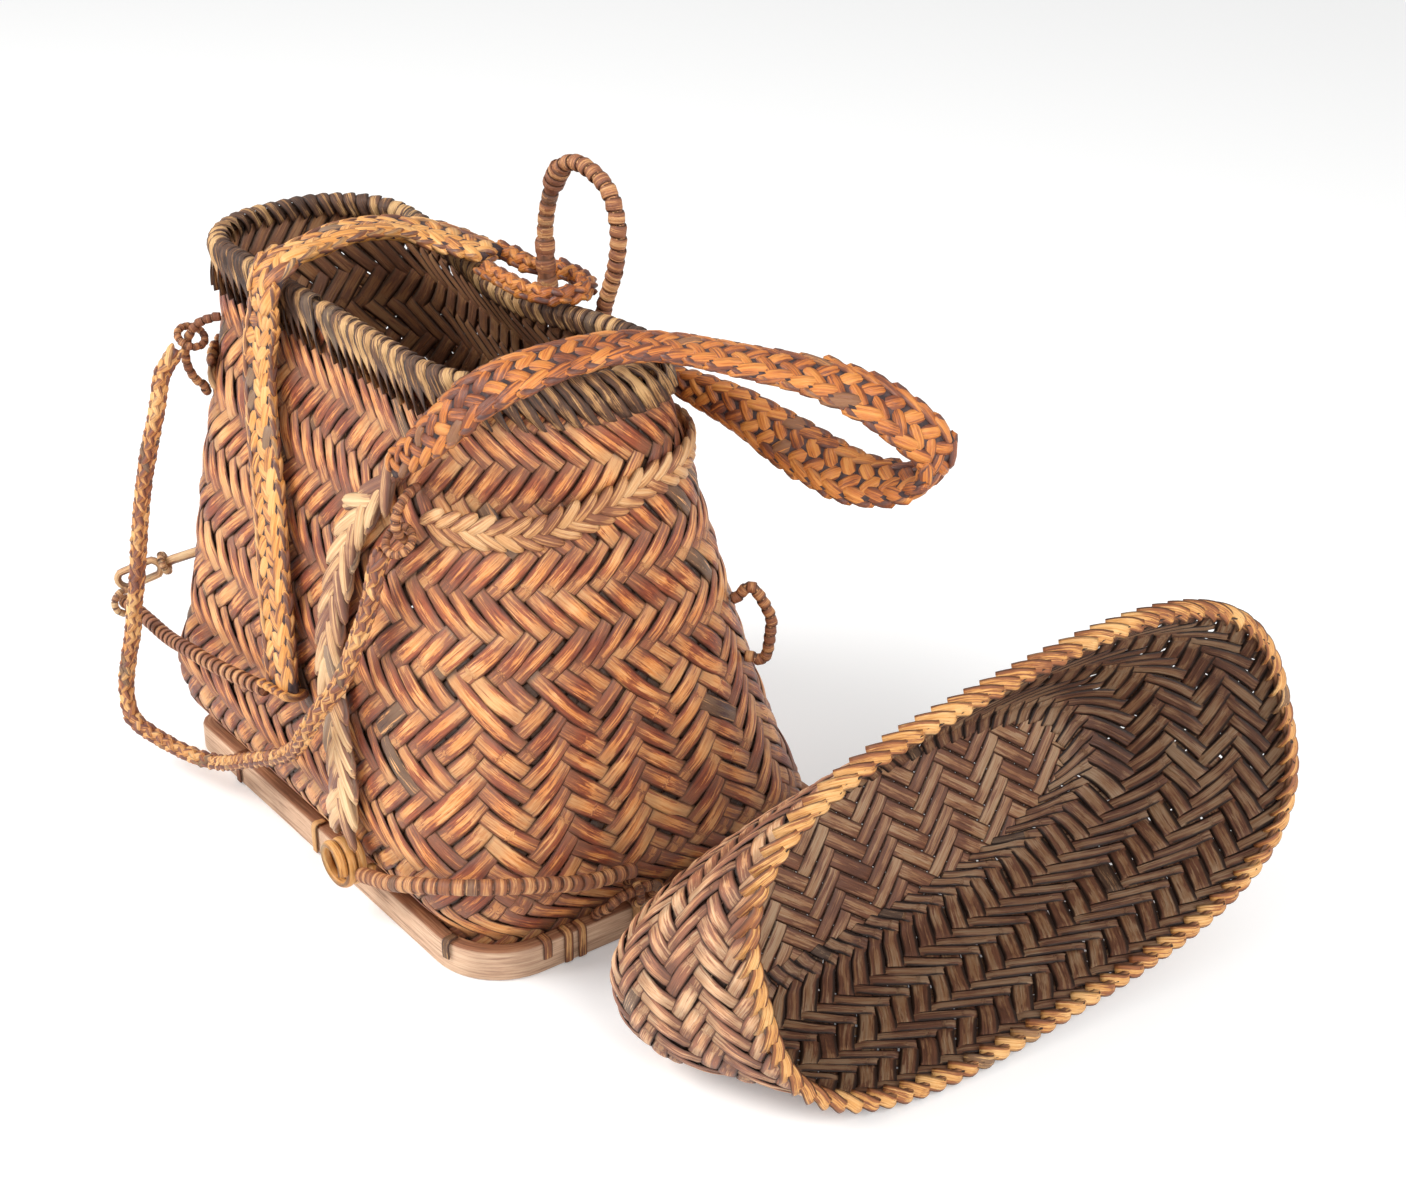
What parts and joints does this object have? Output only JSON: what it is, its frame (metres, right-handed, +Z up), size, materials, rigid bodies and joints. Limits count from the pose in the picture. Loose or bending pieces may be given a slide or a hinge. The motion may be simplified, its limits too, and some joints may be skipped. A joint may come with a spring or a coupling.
{
  "type": "pack basket",
  "caption": "Plaited rattan pack basket on a bent wood base frame, with plaited shoulder straps, a tie rope and a separate deep oval lid lying beside it.",
  "frame": {"origin": "middle of the underside of the whole group, basket and lid, without the free tie rope", "axes": "+Z up, +X from the basket towards the lid along the basket's long side, -Y towards the side with the straps"},
  "size_m": [0.5462, 0.4093, 0.3721],
  "materials": {
    "bent_wood": "worn bare wood, matt",
    "rattan_weave": "aged split rattan, satin",
    "rattan_border": "aged split rattan, satin",
    "rattan_cord": "wrapped and braided rattan, satin",
    "rattan_pale": "smooth split rattan, satin",
    "rattan_strap": "plaited rattan polished by wear, satin",
    "lid_weave": "aged split rattan, satin"
  },
  "bodies": {
    "basket": {"base_frame": "bent_wood", "basket_body": "rattan_weave", "rim_border": "rattan_border", "neck_band": "rattan_weave", "base_lashing_01": "rattan_cord", "base_lashing_02": "rattan_cord", "base_lashing_03": "rattan_cord", "base_lashing_04": "rattan_cord", "base_lashing_05": "rattan_cord", "base_lashing_06": "rattan_cord", "base_lashing_07": "rattan_cord", "base_lashing_08": "rattan_cord", "base_lashing_09": "rattan_cord", "base_lashing_10": "rattan_cord", "base_lashing_11": "rattan_cord", "base_lashing_12": "rattan_cord", "base_lashing_13": "rattan_cord", "base_lashing_14": "rattan_cord", "tall_strap_loop": "rattan_cord", "low_strap_loop": "rattan_cord", "side_loop": "rattan_cord", "near_neck_loop": "rattan_cord", "left_neck_loop": "rattan_cord", "anchor_loop_left": "rattan_cord", "anchor_loop_right": "rattan_cord", "anchor_ring_left": "rattan_cord", "anchor_ring_right": "rattan_cord", "strap_left_eye": "rattan_strap", "strap_left_cord": "rattan_cord", "strap_left_ring": "rattan_pale", "strap_left_link": "rattan_pale", "strap_left_knot": "rattan_pale", "strap_left_tail": "rattan_cord", "strap_right_braid": "rattan_strap", "strap_right_coil": "rattan_pale", "strap_right_cord": "rattan_cord", "lid_tie_rope": "rattan_cord", "rope_eye_ring": "rattan_cord", "rope_hook_ring": "rattan_cord"},
    "left_strap": {"strap_left": "rattan_strap"},
    "right_strap": {"strap_right": "rattan_strap", "strap_right_eye": "rattan_strap"},
    "lid": {"lid_shell": "lid_weave", "lid_border": "rattan_border"}
  },
  "joints": [
    {"name": "left_strap_lift", "type": "hinge", "parent": "basket", "child": "left_strap", "pos_m": [-0.08832, -0.05286, 0.30936], "axis": [-0.1342, 0.5521, 0.8229], "range_deg": [0, 30]},
    {"name": "right_strap_swing", "type": "hinge", "parent": "basket", "child": "right_strap", "pos_m": [0.00018, -0.00922, 0.26422], "axis": [0.0448, -0.9972, -0.0603], "range_deg": [0, 50]},
    {"name": "lid_lift", "type": "slide", "parent": "basket", "child": "lid", "axis": [0, 0, 1], "range_m": [0, 0.1]}
  ]
}
